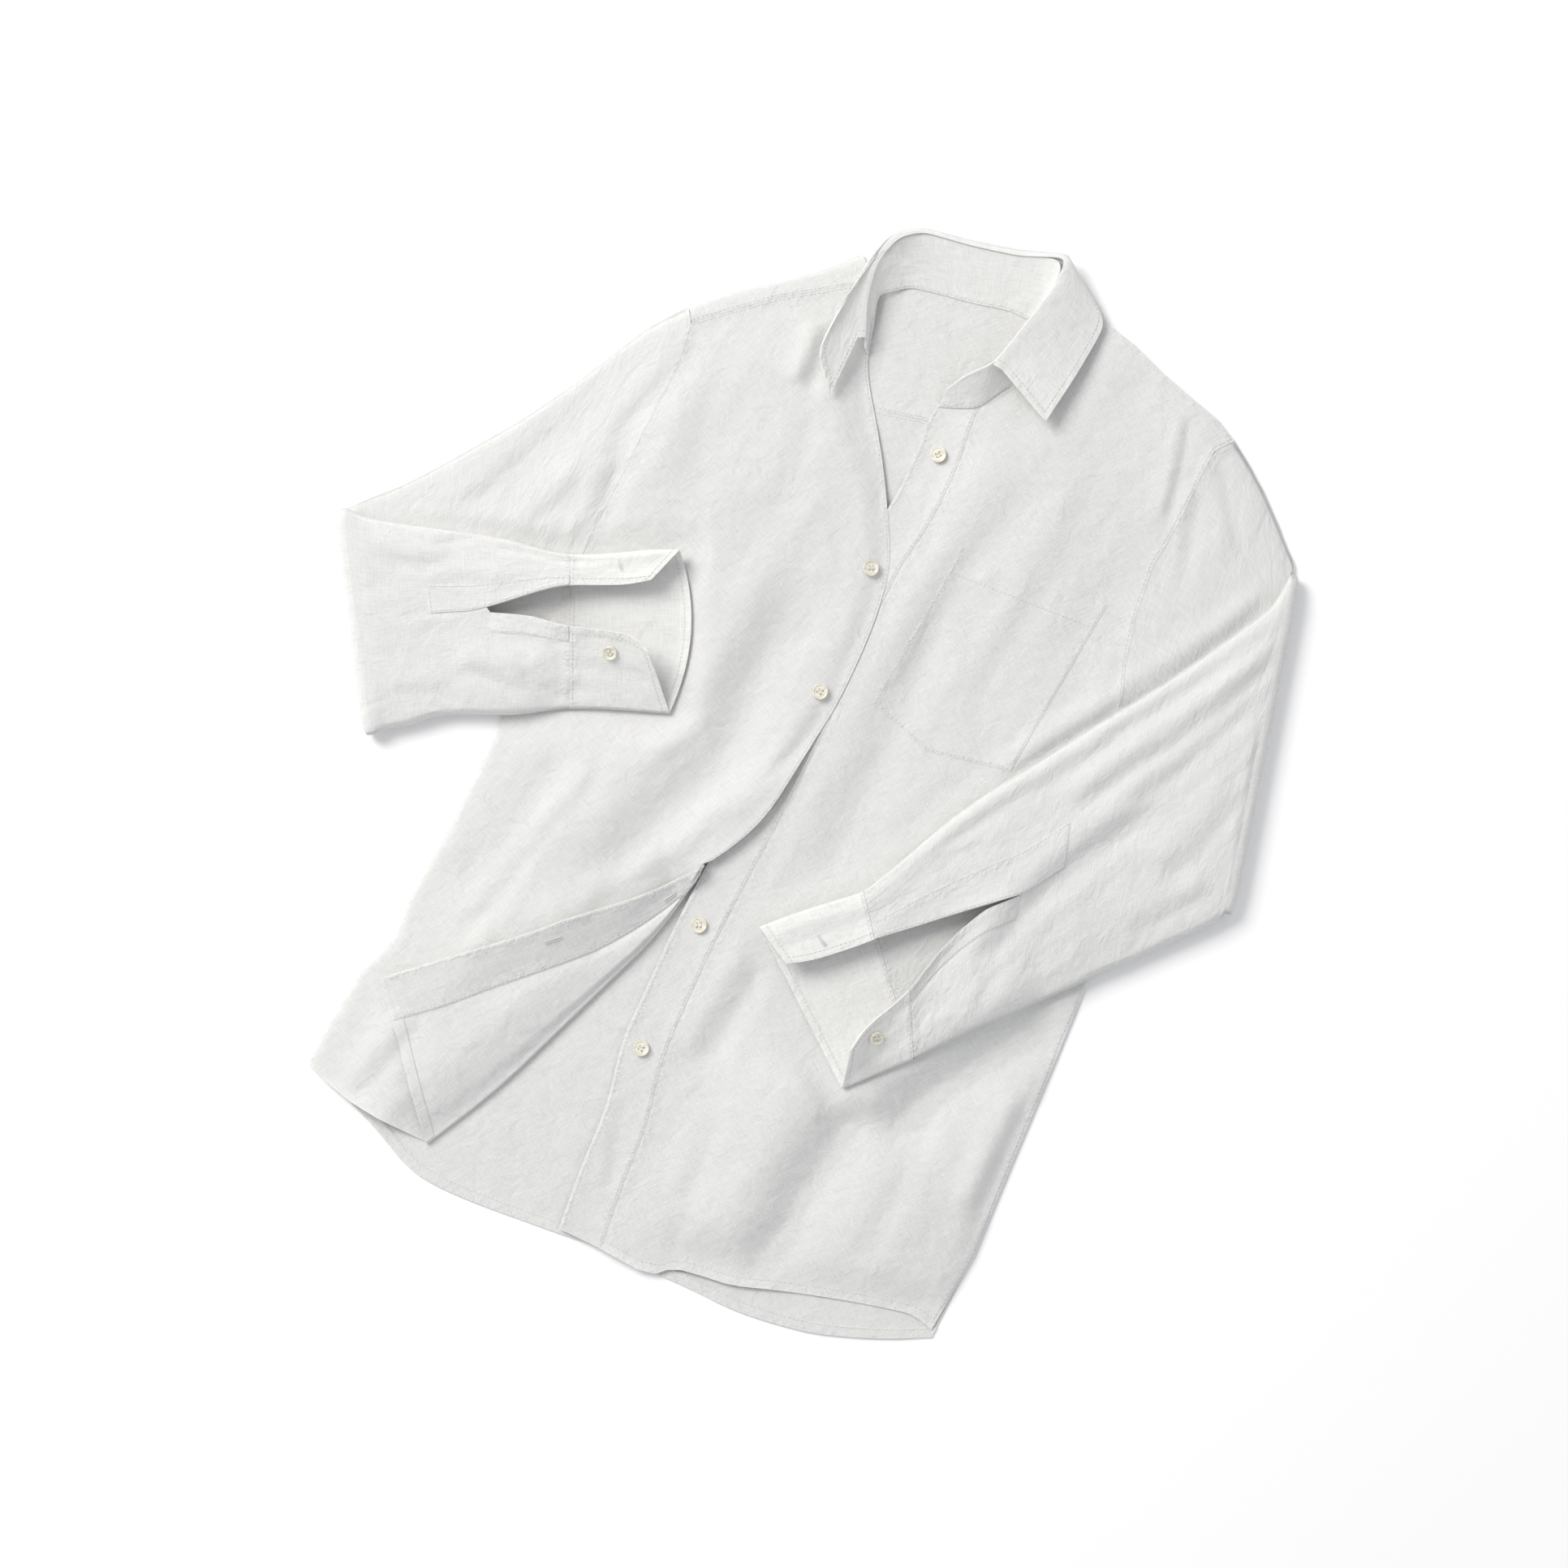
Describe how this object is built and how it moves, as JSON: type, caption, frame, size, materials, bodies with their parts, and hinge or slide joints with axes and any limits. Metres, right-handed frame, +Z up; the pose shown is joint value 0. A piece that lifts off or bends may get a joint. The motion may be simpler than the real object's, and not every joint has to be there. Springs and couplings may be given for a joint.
{
  "type": "crumpled shirt",
  "caption": "Long-sleeved button-up shirt with a collar, lying crumpled on its back, sleeves folded in over the body and the front's corner turned back.",
  "frame": {"origin": "middle of the shirt's outline on the plane it lies on", "axes": "+Z up from the plane it lies on, +Y towards the collar's side of the picture, +X to the picture's right, where the wearer's left sleeve is"},
  "size_m": [0.7337, 0.8238, 0.0527],
  "materials": {
    "cloth": "plain-woven white linen, matt, with slubs",
    "button_shell": "warm pearly shell, softly glossy"
  },
  "bodies": {
    "root": {"back": "cloth", "yoke": "cloth", "right_front": "cloth", "right_front_facing": "cloth", "left_front": "cloth", "left_front_placket": "cloth", "chest_pocket": "cloth", "right_sleeve": "cloth", "right_sleeve_placket": "cloth", "right_sleeve_underlap": "cloth", "right_cuff": "cloth", "left_sleeve": "cloth", "left_sleeve_placket": "cloth", "left_sleeve_underlap": "cloth", "left_cuff": "cloth", "collar_stand": "cloth", "collar_fall": "cloth", "front_button_1": "button_shell", "front_button_2": "button_shell", "front_button_3": "button_shell", "front_button_4": "button_shell", "front_button_5": "button_shell", "front_button_6": "button_shell", "right_cuff_button": "button_shell", "left_cuff_button": "button_shell"}
  },
  "joints": []
}
